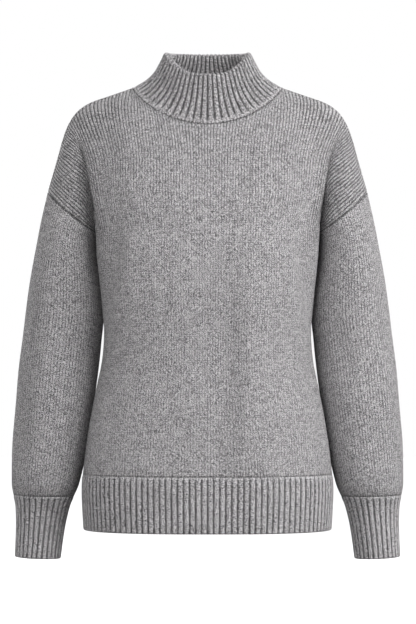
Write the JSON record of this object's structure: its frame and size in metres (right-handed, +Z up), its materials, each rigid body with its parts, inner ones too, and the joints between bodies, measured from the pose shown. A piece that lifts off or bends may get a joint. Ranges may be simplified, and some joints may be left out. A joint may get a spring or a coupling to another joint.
{
  "type": "mock neck sweater",
  "caption": "Hollow worn-shape chunky knit pullover with a ribbed mock neck, dropped shoulders, long sleeves, ribbed cuffs and a ribbed hem.",
  "frame": {"origin": "the middle of the neck base, level with the points where neck and shoulders meet", "axes": "+X to the wearer's left, -Y forward, +Z up"},
  "size_m": [0.5696, 0.2472, 0.7328],
  "materials": {
    "plain_knit": "heathered mid grey plain knit, matt, slightly hairy",
    "rib_knit": "heathered mid grey one-by-one rib, matt"
  },
  "bodies": {
    "root": {"front": "plain_knit", "back": "plain_knit", "sleeve_left": "plain_knit", "sleeve_right": "plain_knit", "hem_front": "rib_knit", "hem_back": "rib_knit", "cuff_left": "rib_knit", "cuff_right": "rib_knit", "collar": "rib_knit"}
  },
  "joints": []
}
